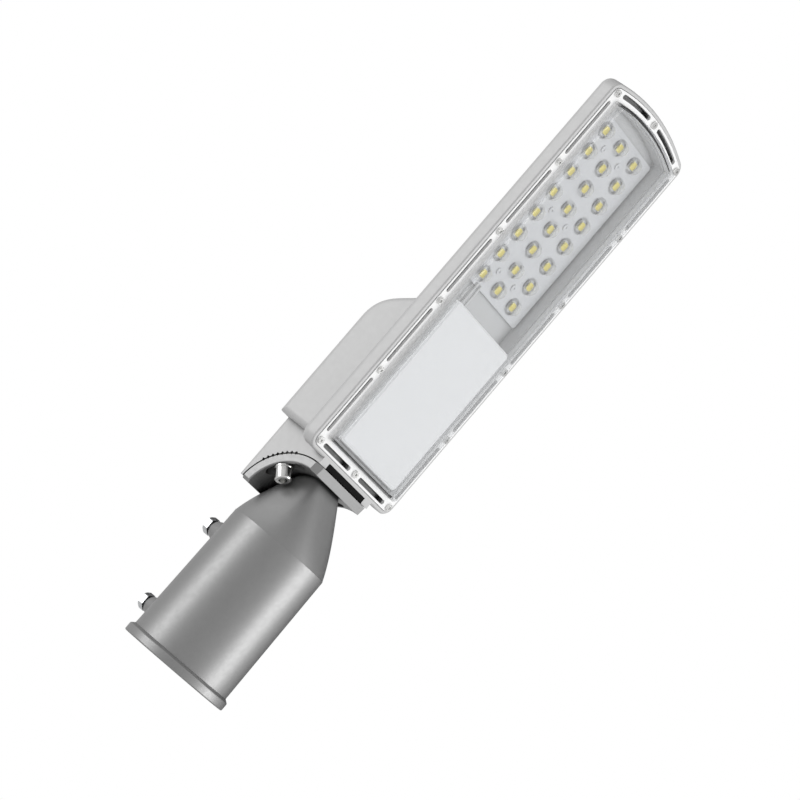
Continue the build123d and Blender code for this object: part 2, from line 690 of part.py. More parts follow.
def make_lens():
    """Dome lens from z = 0 down, hollow over the chip."""
    rim = LENS_R - LENS_STEP
    rise = LENS_HEIGHT - LENS_FLANGE
    dome_r = (rim**2 + rise**2) / (2 * rise)
    middle = dome_r - LENS_HEIGHT
    dome = Pos(0, 0, middle) * Sphere(dome_r)
    low = Pos(0, 0, -LENS_FLANGE - rise) * Cylinder(LENS_R, 2 * rise)
    solid = (dome & low) + Pos(0, 0, -LENS_FLANGE / 2) * Cylinder(LENS_R, LENS_FLANGE)
    hollow = Cylinder(LENS_HOLLOW_R, 2 * LENS_HOLLOW)
    return solid - fillet(hollow.edges().sort_by(Axis.Z)[0], LENS_HOLLOW_ROUND)


def make_driver_plate():
    half = PLATE_WIDTH / 2
    middle = (PLATE_START + PLATE_END) / 2
    face = fillet(Rectangle(PLATE_LENGTH, PLATE_WIDTH).vertices(), PLATE_CORNER)
    inside = Rectangle(PLATE_LENGTH - 2 * PLATE_WALL, PLATE_WIDTH - 2 * PLATE_WALL)
    inside = fillet(inside.vertices(), PLATE_CORNER - PLATE_WALL / 2)
    tray = Pos(middle, 0) * slab(face, PLATE_FACE, BAY_FLOOR)
    tray = chamfer(tray.faces().sort_by(Axis.Z)[0].edges(), PLATE_BEVEL)
    tray -= Pos(middle, 0) * slab(inside, PLATE_FACE + PLATE_WALL, BAY_FLOOR + 1)
    notch = LEAD_NOTCH_WIDTH / 2
    low = (PLATE_END - 2 * PLATE_WALL, DRIVER_Y - notch, BAY_FLOOR - LEAD_NOTCH_HEIGHT)
    tray -= block(low, (PLATE_END + 1, DRIVER_Y + notch, BAY_FLOOR + 1))
    start, end = opening_ends()
    for x in (start + LEG_PLACE, end - LEG_PLACE):
        clip = make_clip(x)
        tray += clip + mirror(clip, Plane.XZ)
    return tray


def make_clip(x):
    """Snap leg of the driver plate, with a nose that hooks behind the opening's edge."""
    outer = OPENING_WIDTH / 2 - LEG_GAP
    inner = outer - LEG_THICKNESS
    foot = PLATE_FACE + PLATE_WALL / 2
    nose = BACK_FACE + LEG_NOSE_GAP
    tip = nose + LEG_NOSE_HEIGHT
    leg = [(inner, foot), (outer, foot), (outer, nose), (outer + LEG_NOSE, nose)]
    leg += [(outer, tip), (inner, tip)]
    face = Plane.YZ * make_face(Polyline(*leg, close=True))
    return Pos(x, 0, 0) * extrude(face, LEG_WIDTH / 2, both=True)


def make_led_driver():
    low = (DRIVER_START, DRIVER_Y - DRIVER_WIDTH / 2, DRIVER_TOP - DRIVER_HEIGHT)
    high = (DRIVER_START + DRIVER_LENGTH, DRIVER_Y + DRIVER_WIDTH / 2, DRIVER_TOP)
    case = block(low, high)
    case = chamfer(case.edges().filter_by(Axis.X), DRIVER_ROUND)
    for x, y in driver_bosses():
        half = TAB_LENGTH / 2
        low = (x - half, y - TAB_WIDTH / 2, DRIVER_TOP - TAB_THICKNESS)
        case += block(low, (x + half, y + TAB_WIDTH / 2, DRIVER_TOP))
        case -= Pos(x, y, DRIVER_TOP) * Cylinder(M3_R + SCREW_CLEARANCE, 3 * TAB_THICKNESS)
    return case


def terminal_rows():
    """Y of each way of the terminal block."""
    return [TERMINAL_FIRST_Y + k * TERMINAL_PITCH for k in range(TERMINAL_WAYS)]


def make_terminal_block():
    low = (TERMINAL_START, MODULE_Y_LOW, BOX_INNER_TOP - TERMINAL_HEIGHT)
    high = (TERMINAL_START + TERMINAL_LENGTH, MODULE_Y_HIGH, BOX_INNER_TOP)
    case = chamfer(block(low, high).edges().filter_by(Axis.Y), TERMINAL_ROUND)
    for y in terminal_rows():
        spot = Pos(TERMINAL_START + TERMINAL_LENGTH / 2, y, low[2])
        case -= spot * Cylinder(TERMINAL_WAY_R, TERMINAL_WAY_DEPTH)
    return case


def make_surge_protector():
    high = BOX_INNER_TOP - SURGE_GAP
    low = (SURGE_START, MODULE_Y_LOW + MODULE_SLIM, high - SURGE_HEIGHT)
    case = block(low, (SURGE_START + SURGE_LENGTH, MODULE_Y_HIGH, high))
    return fillet(case.edges().filter_by(Axis.Z), SURGE_ROUND)


def make_mains_leads():
    """Three short leads from the terminal block's end to the driver's side."""
    start = TERMINAL_START + TERMINAL_LENGTH
    side = DRIVER_Y + DRIVER_WIDTH / 2
    leads = []
    for k, y in enumerate(terminal_rows()):
        turn = start + MAINS_TURN + MAINS_SPACING * k
        route = [(start, y), (turn, y), (turn, side)]
        path = [(px, py, DRIVER_TOP - MAINS_DROP) for px, py in route]
        leads.append(make_lead(FilletPolyline(*path, radius=MAINS_BEND), MAINS_R))
    return Compound(leads)


def make_lead(path, radius):
    return sweep(Plane(origin=path @ 0, z_dir=path % 0) * Circle(radius), path)


def make_output_leads():
    """Two leads from the driver, under the driver plate's wall, to the LED board."""
    start = DRIVER_START + DRIVER_LENGTH
    touch = BOARD_FACE - LEAD_R
    level = DRIVER_TOP - DRIVER_HEIGHT / 2
    route = [(start, level), (start + LEAD_STRAIGHT, level)]
    route.append((start + LEAD_STRAIGHT + LEAD_DROP, touch + LEAD_LIFT))
    route.append((PLATE_END + LEAD_REST, touch))
    route.append((BOARD_START + LEAD_END_INSET, touch - LEAD_TOUCH_GAP))
    leads = []
    for side in (-1, 1):
        y = DRIVER_Y + side * LEAD_SPACING / 2
        path = FilletPolyline(*[(x, y, z) for x, z in route], radius=list(LEAD_BENDS))
        leads.append(make_lead(path, LEAD_R))
    return Compound(leads)


def make_grommet():
    low = BOX_INNER_START - ARM_WALL
    high = BOX_INNER_START
    neck_r = GROMMET_HOLE_R - PRESS_CLEARANCE
    side = [(low - GROMMET_FLANGE, GROMMET_BORE_R), (low - GROMMET_FLANGE, GROMMET_FLANGE_R)]
    side += [(low, GROMMET_FLANGE_R), (low, neck_r), (high, neck_r), (high, GROMMET_FLANGE_R)]
    side.append((high + GROMMET_FLANGE, GROMMET_FLANGE_R - GROMMET_TAPER))
    side.append((high + GROMMET_FLANGE, GROMMET_BORE_R))
    return Pos(0, 0, GROMMET_Z) * revolve(make_face(Polyline(*side, close=True)), Axis.X)


def make_vent():
    cap = Pos(0, 0, VENT_CAP / 2) * Cylinder(VENT_CAP_R, VENT_CAP)
    cap = fillet(cap.edges().sort_by(Axis.Z)[-1], VENT_CAP_ROUND)
    for k in range(VENT_SLITS):
        slit = Pos(VENT_CAP_R, 0, VENT_SLIT_HEIGHT / 2) * Cylinder(VENT_SLIT_R, VENT_SLIT_HEIGHT)
        cap -= Rot(0, 0, 360 * k / VENT_SLITS) * slit
    stem = Pos(0, 0, -BOX_WALL) * Cylinder(VENT_HOLE_R - PRESS_CLEARANCE, 2 * BOX_WALL)
    return vent_plane(BOX_WIDTH / 2) * (cap + stem)


def make_joint_seal():
    """Rubber block that closes the arm's pocket below, in front of the saddle."""
    low = HEAD_LIP + SEAL_CLEARANCE
    high = SEAL_TOP
    gap = SEAT_R + 2 * SEAL_CLEARANCE
    near = [PIVOT_X + sqrt(gap**2 - (z - PIVOT_Z) ** 2) for z in (low, high)]
    side = ThreePointArc((near[0], low), (PIVOT_X + gap, PIVOT_Z), (near[1], high))
    rest = Polyline((near[1], high), (HEAD_BASE, high), (HEAD_BASE, low), (near[0], low))
    return across(make_face([side, rest]), SEAL_WIDTH / 2 - SEAL_CLEARANCE)


def make_screws(spots, level, shank_r, length, head_r, head, flats):
    """The same screw at several places, with the underside of its head at one level."""
    one = screw(shank_r, length, head_r, head, flats)
    return Compound([Pos(x, y, level) * one for x, y in spots])


def make_tilt_fasteners(side):
    """Cap screw, spring washer and flat washer of one side of the tilt joint."""
    seat = radial(TILT_SCREW_ANGLE, TILT_HEAD_SEAT_R, side * TILT_SCREW_Y)
    bolt = screw(TILT_SCREW_R, TILT_SHANK, TILT_HEAD_R, TILT_HEAD, TILT_SOCKET_FLATS)
    split = ring(SPRING_WASHER_R, TILT_SCREW_R + SPRING_WASHER_BORE_GAP, SPRING_WASHER_THICKNESS)
    split -= Pos(SPRING_WASHER_R, 0, 1) * Rot(SPRING_WASHER_LEAN, 0, 0) * Box(*SPRING_WASHER_CUT)
    flat = ring(WASHER_R, TILT_SCREW_R + WASHER_BORE_GAP, WASHER_THICKNESS)
    return seat * bolt, seat * split, seat * Pos(0, 0, SPRING_WASHER_THICKNESS) * flat


def make_lights(nodes):
    """LED board with its pad, screws, chips and lenses."""
    nodes["thermal_pad"] = slab(board_outline(-PAD_INSET), BAY_FLOOR - PAD_THICKNESS, BAY_FLOOR)
    nodes["led_board"] = slab(board_outline(0), BOARD_FACE, BOARD_FACE + BOARD_THICKNESS)
    sizes = (BOARD_SCREW_R, BOARD_SCREW_LENGTH, BOARD_SCREW_HEAD_R, BOARD_SCREW_HEAD, BOARD_SCREW_FLATS)
    nodes["board_screws"] = make_screws(board_screw_spots(), BOARD_FACE, *sizes)
    chip = Pos(0, 0, BOARD_FACE - CHIP_HEIGHT / 2) * Box(CHIP_SIZE, CHIP_SIZE, CHIP_HEIGHT)
    nodes["led_chips"] = Compound([Pos(x, y, 0) * chip for x, y in led_spots()])
    lens = Pos(0, 0, BOARD_FACE) * make_lens()
    nodes["led_lenses"] = Compound([Pos(x, y, 0) * lens for x, y in led_spots()])


def make_electrics(nodes):
    """What the driver box holds, with the plate in front of it."""
    nodes["driver_plate"] = make_driver_plate()
    nodes["led_driver"] = make_led_driver()
    sizes = (M3_R, M3_LENGTH, M3_HEAD_R, M3_HEAD, M3_FLATS)
    nodes["driver_screws"] = make_screws(driver_bosses(), DRIVER_TOP - TAB_THICKNESS, *sizes)
    nodes["surge_protector"] = make_surge_protector()
    nodes["terminal_block"] = make_terminal_block()
    earth_screw = screw(M4_R, M4_LENGTH, M4_HEAD_R, M4_HEAD, M4_FLATS)
    nodes["earth_screw"] = Pos(*earth_spot(), DRIVER_TOP) * earth_screw
    nodes["cable_grommet"] = make_grommet()
    nodes["breather_vent"] = make_vent()
    nodes["output_leads"] = make_output_leads()
    nodes["mains_leads"] = make_mains_leads()


def make_nodes():
    nodes = {"spigot": make_spigot(), "housing": make_housing()}
    nodes["joint_seal"] = make_joint_seal()
    for name, x in zip(("front", "rear"), POLE_BOLT_X):
        nodes["pole_bolt_" + name] = make_pole_bolt(x)
    for name, side in (("left", -1), ("right", 1)):
        bolt, split, flat = make_tilt_fasteners(side)
        nodes["tilt_screw_" + name] = bolt
        nodes["spring_washer_" + name] = split
        nodes["tilt_washer_" + name] = flat
    nodes["clear_cover"] = make_clear_cover()
    nodes["cover_gasket"] = make_gasket()
    sizes = (COVER_SCREW_R, COVER_SCREW_LENGTH, COVER_SCREW_HEAD_R, COVER_SCREW_HEAD, COVER_SCREW_FLATS)
    nodes["cover_screws"] = make_screws(screw_spots(), FLANGE_FACE, *sizes)
    make_lights(nodes)
    make_electrics(nodes)
    return nodes


def save_nodes():
    os.makedirs("parts", exist_ok=True)
    for name, shape in make_nodes().items():
        export_step(shape, os.path.join("parts", name + ".step"))


save_nodes()
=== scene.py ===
import bpy
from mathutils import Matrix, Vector

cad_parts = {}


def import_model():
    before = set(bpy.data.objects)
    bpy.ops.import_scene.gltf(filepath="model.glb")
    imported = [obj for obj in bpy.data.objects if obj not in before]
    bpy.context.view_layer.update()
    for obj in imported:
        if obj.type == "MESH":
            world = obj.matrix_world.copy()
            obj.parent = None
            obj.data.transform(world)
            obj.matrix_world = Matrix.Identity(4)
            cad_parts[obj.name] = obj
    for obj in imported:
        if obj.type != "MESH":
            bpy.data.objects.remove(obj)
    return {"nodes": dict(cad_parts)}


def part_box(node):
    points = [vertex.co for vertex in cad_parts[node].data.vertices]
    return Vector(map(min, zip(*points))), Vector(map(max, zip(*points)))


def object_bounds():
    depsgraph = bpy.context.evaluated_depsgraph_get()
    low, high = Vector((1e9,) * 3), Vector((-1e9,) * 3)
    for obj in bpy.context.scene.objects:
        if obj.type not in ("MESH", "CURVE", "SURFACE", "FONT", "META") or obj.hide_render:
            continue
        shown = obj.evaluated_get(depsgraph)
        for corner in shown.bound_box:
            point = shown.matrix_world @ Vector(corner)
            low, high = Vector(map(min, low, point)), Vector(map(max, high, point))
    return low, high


# LED street-light head: looks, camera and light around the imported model. Metres.

# ---- camera ----
CAMERA_PLACE = (0.02504, -1.80521, -1.36437)
CAMERA_TURN = (0.389373, 0.820264, 0.357800, -0.218025)
CAMERA_LENS = 175.5
CAMERA_SENSOR = 36.0
CAMERA_CLIP = (0.05, 100.0)

# ---- studio ----
FLOOR_LEVEL = -1.75
FLOOR_SIDE = 40.0
FLOOR_PAPER = (0.94, 0.94, 0.94)
FLOOR_ROUGHNESS = 0.9
BACKDROP_GLOW = 1.0
SURROUND_GLOW = 0.85
FLAG_GLOW = 0.02
FLAG_SIDE = (0.6, 0.78, -0.1)
FLAG_EDGE = (0.35, 0.75)

# Each soft box: direction from the object, distance, width, height and watts.
FRONT_LIGHT = ((0.1, -0.8, 0.6), 2.0, 1.6, 0.8, 15.0)
UNDER_LIGHT = ((0.1, 0.44, -0.90), 1.6, 1.5, 0.9, 16.0)

# ---- colours, linear ----
GREY_PAINT = (0.52, 0.52, 0.52)
SPIGOT_PAINT = (0.31, 0.31, 0.31)
PLATE_PAINT = (0.80, 0.80, 0.80)
BOARD_WHITE = (0.63, 0.635, 0.65)
ZINC = (0.66, 0.67, 0.68)
NICKEL = (0.80, 0.80, 0.79)
RUBBER = (0.006, 0.006, 0.006)
SILICONE = (0.62, 0.62, 0.62)
COVER_MIRRORED = (0.75, 0.03)
LENS_MIRRORED = (0.35, 0.012)
FLANGE_LEVELS = (-0.0125, -0.0080)
PHOSPHOR = (1.0, 0.82, 0.01)
PACKAGE_CREAM = (0.85, 0.80, 0.45)
PHOSPHOR_EDGE = (0.0026, 0.0029)
# Painted highlight: the white colour of the driver plate's bevels and sides.
PLATE_EDGE_HIGHLIGHT = (1.0, 1.0, 1.0)
LENS_RADIUS = 0.0056
LED_PITCH = (0.01575, 0.0213)
# Painted shade and painted highlight on each lens: the dark see-through tint, and where across each LED
# cell the shaded side and the white lit side begin and end.
LENS_PAINTED_SHADE = (0.20, 0.20, 0.22)
LENS_PAINTED_SHADE_SIDE = (-0.0044, -0.0054)
LENS_PAINTED_LIGHT_SIDE = (0.0024, 0.0032)
BRASS = (0.72, 0.50, 0.20)
PAD_GREY = (0.25, 0.26, 0.28)
MODULE_BLACK = (0.02, 0.022, 0.025)
TERMINAL_WHITE = (0.68, 0.68, 0.66)
VENT_BLACK = (0.02, 0.02, 0.02)
LEAD_WHITE = (0.66, 0.66, 0.65)
LEAD_BLUE = (0.03, 0.09, 0.36)
CASE_PAINT = (0.62, 0.63, 0.64)
COVER_TINT = (0.98, 0.985, 0.99)
COVER_RIM_TINT = (0.86, 0.87, 0.88)
COVER_HAZE = 0.02
FLANGE_HAZE = 0.88
LENS_TINT = (0.995, 0.995, 0.99)
LENS_RIM_TINT = (0.80, 0.80, 0.81)

# ---- coats ----
NOISE_MIDDLE = (0.3, 0.7)
MOTTLE = (0.98, 1.015)
# Painted shade in grooves: how far the occlusion reaches, where the darkening starts and ends, and how
# dark it is painted.
GROOVE_REACH = 0.004
GROOVE_RANGE = (0.25, 0.85)
GROOVE_PAINTED_SHADE = 0.12
# Painted highlight on the driver plate: the range of the face normal's Z between the white edges and the
# flat face.
PLATE_FACE_RANGE = (-0.8, -0.95)


# ---------------------------------------------------------------- materials
def new_material(name):
    """A material with its Principled shader and its node tree."""
    material = bpy.data.materials.new(name)
    material.use_nodes = True
    tree = material.node_tree
    return material, tree, tree.nodes["Principled BSDF"]


def noise(tree, scale, detail=4.0, rough=0.55):
    """Noise in the row frame, so its scale is in features for each metre."""
    place = tree.nodes.new("ShaderNodeTexCoord")
    texture = tree.nodes.new("ShaderNodeTexNoise")
    texture.inputs["Scale"].default_value = scale
    texture.inputs["Detail"].default_value = detail
    texture.inputs["Roughness"].default_value = rough
    tree.links.new(place.outputs["Object"], texture.inputs["Vector"])
    return texture.outputs["Fac"]


def spread(tree, value, low, high):
    """Maps the middle half of a noise to the range from low to high."""
    node = tree.nodes.new("ShaderNodeMapRange")
    node.inputs["From Min"].default_value = NOISE_MIDDLE[0]
    node.inputs["From Max"].default_value = NOISE_MIDDLE[1]
    node.inputs["To Min"].default_value = low
    node.inputs["To Max"].default_value = high
    tree.links.new(value, node.inputs["Value"])
    return node.outputs["Result"]


def ramp(tree, value, start, end):
    """0 at the start and 1 at the end, smooth between."""
    node = tree.nodes.new("ShaderNodeMapRange")
    node.interpolation_type = "SMOOTHSTEP"
    node.inputs["From Min"].default_value = start
    node.inputs["From Max"].default_value = end
    tree.links.new(value, node.inputs["Value"])
    return node.outputs["Result"]


def blend_colours(tree, factor, first, second):
    node = tree.nodes.new("ShaderNodeMix")
    node.data_type = "RGBA"
    node.inputs["A"].default_value = (*first, 1)
    node.inputs["B"].default_value = (*second, 1)
    tree.links.new(factor, node.inputs["Factor"])
    return node.outputs["Result"]


def shade(colour, amount):
    return tuple(min(1.0, c * amount) for c in colour)


def bump(tree, shader, height, strength, distance):
    node = tree.nodes.new("ShaderNodeBump")
    node.inputs["Strength"].default_value = strength
    node.inputs["Distance"].default_value = distance
    tree.links.new(height, node.inputs["Height"])
    tree.links.new(node.outputs["Normal"], shader.inputs["Normal"])


def crevice_shade_mask(tree, reach):
    """Ambient occlusion for painted shade: 1 on open faces, falling towards 0 deep in a groove no wider
    than the reach, in metres.
    """
    node = tree.nodes.new("ShaderNodeAmbientOcclusion")
    node.samples = 6
    node.inputs["Distance"].default_value = reach
    return node.outputs["AO"]


def powder_coat(name, colour, metallic, roughness, grain, strength):
    """Cast metal under a powder coat: fine orange peel, slight mottling, and painted shade that darkens
    its grooves.
    """
    material, tree, shader = new_material(name)
    mottle = spread(tree, noise(tree, 240.0), 0.0, 1.0)
    tint = blend_colours(tree, mottle, shade(colour, MOTTLE[0]), shade(colour, MOTTLE[1]))
    # Painted shade: the colour darkens towards the shade colour deep in grooves and crevices.
    groove_painted_shade = tree.nodes.new("ShaderNodeMix")
    groove_painted_shade.data_type = "RGBA"
    groove_painted_shade.inputs["A"].default_value = (*shade(colour, GROOVE_PAINTED_SHADE), 1)
    openness = ramp(tree, crevice_shade_mask(tree, GROOVE_REACH), *GROOVE_RANGE)
    tree.links.new(openness, groove_painted_shade.inputs["Factor"])
    tree.links.new(tint, groove_painted_shade.inputs["B"])
    tree.links.new(groove_painted_shade.outputs["Result"], shader.inputs["Base Color"])
    gloss = spread(tree, noise(tree, 400.0, 3.0), roughness * 0.94, roughness * 1.06)
    tree.links.new(gloss, shader.inputs["Roughness"])
    shader.inputs["Metallic"].default_value = metallic
    bump(tree, shader, noise(tree, grain, 2.0), strength, 0.0002)
    return material


def plated(name, colour, roughness, grain):
    """Plated steel: fully metallic with fine uneven polish and a few dull spots."""
    material, tree, shader = new_material(name)
    mottle = spread(tree, noise(tree, 300.0), 0.0, 1.0)
    tint = blend_colours(tree, mottle, shade(colour, 0.82), colour)
    tree.links.new(tint, shader.inputs["Base Color"])
    gloss = spread(tree, noise(tree, grain, 3.0), roughness * 0.7, roughness * 1.4)
    tree.links.new(gloss, shader.inputs["Roughness"])
    shader.inputs["Metallic"].default_value = 1.0
    bump(tree, shader, noise(tree, grain * 3, 2.0), 0.08, 0.0001)
    return material


def moulded(name, colour, roughness, grain, strength, shine=0.5):
    """Moulded plastic or rubber: faint texture, and a slightly uneven colour."""
    material, tree, shader = new_material(name)
    shader.inputs["Specular IOR Level"].default_value = shine
    mottle = spread(tree, noise(tree, 80.0), 0.0, 1.0)
    tint = blend_colours(tree, mottle, shade(colour, 0.95), shade(colour, 1.04))
    tree.links.new(tint, shader.inputs["Base Color"])
    gloss = spread(tree, noise(tree, 220.0, 3.0), roughness * 0.9, roughness * 1.1)
    tree.links.new(gloss, shader.inputs["Roughness"])
    bump(tree, shader, noise(tree, grain, 2.0), strength, 0.0001)
    return material


def slant(tree, power, share, least):
    """How slanted a face is to the eye, shaped: least head on, rising to least plus share."""
    weight = tree.nodes.new("ShaderNodeLayerWeight")
    weight.inputs["Blend"].default_value = 0.5
    steep = tree.nodes.new("ShaderNodeMath")
    steep.operation = "POWER"
    steep.inputs[1].default_value = power
    tree.links.new(weight.outputs["Facing"], steep.inputs[0])
    scaled = tree.nodes.new("ShaderNodeMath")
    scaled.operation = "MULTIPLY_ADD"
    scaled.inputs[1].default_value = share
    scaled.inputs[2].default_value = least
    tree.links.new(steep.outputs["Value"], scaled.inputs[0])
    return scaled.outputs["Value"]


def level_mask(tree, low, high):
    """0 below a height in the row frame and 1 above another, both in metres."""
    place = tree.nodes.new("ShaderNodeTexCoord")
    parts = tree.nodes.new("ShaderNodeSeparateXYZ")
    tree.links.new(place.outputs["Object"], parts.inputs["Vector"])
    node = tree.nodes.new("ShaderNodeMapRange")
    node.inputs["From Min"].default_value = low
    node.inputs["From Max"].default_value = high
    tree.links.new(parts.outputs["Z"], node.inputs["Value"])
    return node.outputs["Result"]


def clear_sheet(tree, tint, rim_tint, roughness, mirrored):
    """Clear plastic that doesn't bend sight: it darkens and mirrors more at a slant."""
    see_through = tree.nodes.new("ShaderNodeBsdfTransparent")
    tone = blend_colours(tree, slant(tree, 3.0, 1.0, 0.0), tint, rim_tint)
    tree.links.new(tone, see_through.inputs["Color"])
    mirror = tree.nodes.new("ShaderNodeBsdfGlossy")
    gloss = spread(tree, noise(tree, 120.0, 3.0), roughness * 0.6, roughness * 1.4)
    tree.links.new(gloss, mirror.inputs["Roughness"])
    glass = tree.nodes.new("ShaderNodeMixShader")
    tree.links.new(slant(tree, 4.0, *mirrored), glass.inputs["Fac"])
    tree.links.new(see_through.outputs["BSDF"], glass.inputs[1])
    tree.links.new(mirror.outputs["BSDF"], glass.inputs[2])
    return glass.outputs["Shader"]


def clear_cover(name, tint, rim_tint, haze, rim_haze):
    """Clear cover: nearly all clear over the dome, and milkier where its flange lies on the metal."""
    material, tree, shader = new_material(name)
    tree.nodes.remove(shader)
    veil = tree.nodes.new("ShaderNodeBsdfDiffuse")
    veil.inputs["Color"].default_value = (1, 1, 1, 1)
    milk = tree.nodes.new("ShaderNodeMapRange")
    milk.inputs["To Min"].default_value = haze
    milk.inputs["To Max"].default_value = rim_haze
    tree.links.new(level_mask(tree, *FLANGE_LEVELS), milk.inputs["Value"])
    mix = tree.nodes.new("ShaderNodeMixShader")
    tree.links.new(milk.outputs["Result"], mix.inputs["Fac"])
    tree.links.new(clear_sheet(tree, tint, rim_tint, 0.05, COVER_MIRRORED), mix.inputs[1])
    tree.links.new(veil.outputs["BSDF"], mix.inputs[2])
    tree.links.new(mix.outputs["Shader"], tree.nodes["Material Output"].inputs["Surface"])
    return material


def led_cell(tree):
    """Distances along X and Y from the nearest LED's centre, in metres."""
    lens_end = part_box("led_lenses")[1].x
    first = (lens_end - LENS_RADIUS, 0.0)
    place = tree.nodes.new("ShaderNodeTexCoord")
    parts = tree.nodes.new("ShaderNodeSeparateXYZ")
    tree.links.new(place.outputs["Object"], parts.inputs["Vector"])
    ways = []
    for axis, start, pitch in zip("XY", first, LED_PITCH):
        shift = tree.nodes.new("ShaderNodeMath")
        shift.operation = "SUBTRACT"
        shift.inputs[1].default_value = start
        tree.links.new(parts.outputs[axis], shift.inputs[0])
        wrap = tree.nodes.new("ShaderNodeMath")
        wrap.operation = "WRAP"
        wrap.inputs[1].default_value = pitch / 2
        wrap.inputs[2].default_value = -pitch / 2
        tree.links.new(shift.outputs["Value"], wrap.inputs[0])
        ways.append(wrap.outputs["Value"])
    return ways


def clear_lens(name, tint, rim_tint):
    """Clear dome with painted shade as a dark rim on one side and a painted highlight as a white rim on
    the other.
    """
    material, tree, shader = new_material(name)
    tree.nodes.remove(shader)
    across = led_cell(tree)[1]
    # Painted shade: a dark see-through tint on the -Y side of each lens.
    dark = tree.nodes.new("ShaderNodeBsdfTransparent")
    dark.inputs["Color"].default_value = (*LENS_PAINTED_SHADE, 1)
    dim = tree.nodes.new("ShaderNodeMixShader")
    tree.links.new(ramp(tree, across, *LENS_PAINTED_SHADE_SIDE), dim.inputs["Fac"])
    tree.links.new(clear_sheet(tree, tint, rim_tint, 0.04, LENS_MIRRORED), dim.inputs[1])
    tree.links.new(dark.outputs["BSDF"], dim.inputs[2])
    # Painted highlight: a white diffuse and translucent crescent on the +Y side of each lens, standing in
    # for the light the dome gathers.
    outward = tree.nodes.new("ShaderNodeBsdfDiffuse")
    outward.inputs["Color"].default_value = (1, 1, 1, 1)
    inward = tree.nodes.new("ShaderNodeBsdfTranslucent")
    inward.inputs["Color"].default_value = (1, 1, 1, 1)
    painted_light_crescent = tree.nodes.new("ShaderNodeMixShader")
    tree.links.new(outward.outputs["BSDF"], painted_light_crescent.inputs[1])
    tree.links.new(inward.outputs["BSDF"], painted_light_crescent.inputs[2])
    mix = tree.nodes.new("ShaderNodeMixShader")
    tree.links.new(ramp(tree, across, *LENS_PAINTED_LIGHT_SIDE), mix.inputs["Fac"])
    tree.links.new(dim.outputs["Shader"], mix.inputs[1])
    tree.links.new(painted_light_crescent.outputs["Shader"], mix.inputs[2])
    tree.links.new(mix.outputs["Shader"], tree.nodes["Material Output"].inputs["Surface"])
    return material


def led_package(name):
    """Cream LED package with a round yellow phosphor in the middle of each."""
    material, tree, shader = new_material(name)
    away = tree.nodes.new("ShaderNodeVectorMath")
    away.operation = "LENGTH"
    flat = tree.nodes.new("ShaderNodeCombineXYZ")
    for axis, way in zip("XY", led_cell(tree)):
        tree.links.new(way, flat.inputs[axis])
    tree.links.new(flat.outputs["Vector"], away.inputs[0])
    edge = ramp(tree, away.outputs["Value"], *PHOSPHOR_EDGE)
    tint = blend_colours(tree, edge, PHOSPHOR, PACKAGE_CREAM)
    tree.links.new(tint, shader.inputs["Base Color"])
    gloss = spread(tree, noise(tree, 900.0, 3.0), 0.3, 0.5)
    tree.links.new(gloss, shader.inputs["Roughness"])
    bump(tree, shader, noise(tree, 1500.0, 2.0), 0.1, 0.0001)
    return material


def edged_plate(name):
    """Painted plate whose bevels and sides are painted whiter than its flat face, a painted highlight set
    by which way each face points.
    """
    material, tree, shader = new_material(name)
    place = tree.nodes.new("ShaderNodeTexCoord")
    parts = tree.nodes.new("ShaderNodeSeparateXYZ")
    tree.links.new(place.outputs["Normal"], parts.inputs["Vector"])
    # Painted highlight: faces not pointing straight down get the white edge colour.
    flat = ramp(tree, parts.outputs["Z"], *PLATE_FACE_RANGE)
    tint = blend_colours(tree, flat, PLATE_EDGE_HIGHLIGHT, PLATE_PAINT)
    tree.links.new(tint, shader.inputs["Base Color"])
    gloss = spread(tree, noise(tree, 220.0, 3.0), 0.4, 0.5)
    tree.links.new(gloss, shader.inputs["Roughness"])
    bump(tree, shader, noise(tree, 900.0, 2.0), 0.02, 0.0001)
    return material


def make_materials():
    made = {}
    made["housing"] = powder_coat("housing_coat", GREY_PAINT, 0.1, 0.45, 800.0, 0.05)
    made["spigot"] = powder_coat("spigot_coat", SPIGOT_PAINT, 0.85, 0.46, 700.0, 0.02)
    made["zinc"] = plated("zinc_plate", ZINC, 0.30, 500.0)
    made["nickel"] = plated("nickel_plate", NICKEL, 0.14, 400.0)
    made["stainless"] = plated("stainless_steel", NICKEL, 0.22, 500.0)
    made["brass"] = plated("brass_plain", BRASS, 0.28, 400.0)
    made["rubber"] = moulded("black_rubber", RUBBER, 0.75, 700.0, 0.25, 0.08)
    made["silicone"] = moulded("white_silicone", SILICONE, 0.5, 500.0, 0.1)
    made["pad"] = moulded("grey_pad", PAD_GREY, 0.7, 900.0, 0.2)
    made["plate"] = edged_plate("driver_plate_painted_highlight")
    made["board"] = moulded("solder_mask_white", BOARD_WHITE, 0.38, 1200.0, 0.06)
    made["phosphor"] = led_package("led_phosphor")
    made["module"] = moulded("potted_module", MODULE_BLACK, 0.4, 600.0, 0.1)
    made["terminal"] = moulded("white_polyamide", TERMINAL_WHITE, 0.4, 600.0, 0.1)
    made["vent"] = moulded("black_polyamide", VENT_BLACK, 0.45, 900.0, 0.15)
    made["white"] = moulded("white_insulation", LEAD_WHITE, 0.35, 500.0, 0.05)
    made["blue"] = moulded("blue_insulation", LEAD_BLUE, 0.35, 500.0, 0.05)
    made["case"] = powder_coat("driver_case", CASE_PAINT, 0.8, 0.35, 500.0, 0.05)
    made["cover"] = clear_cover("clear_polycarbonate", COVER_TINT, COVER_RIM_TINT, COVER_HAZE, FLANGE_HAZE)
    made["lens"] = clear_lens("clear_acrylic", LENS_TINT, LENS_RIM_TINT)
    return made


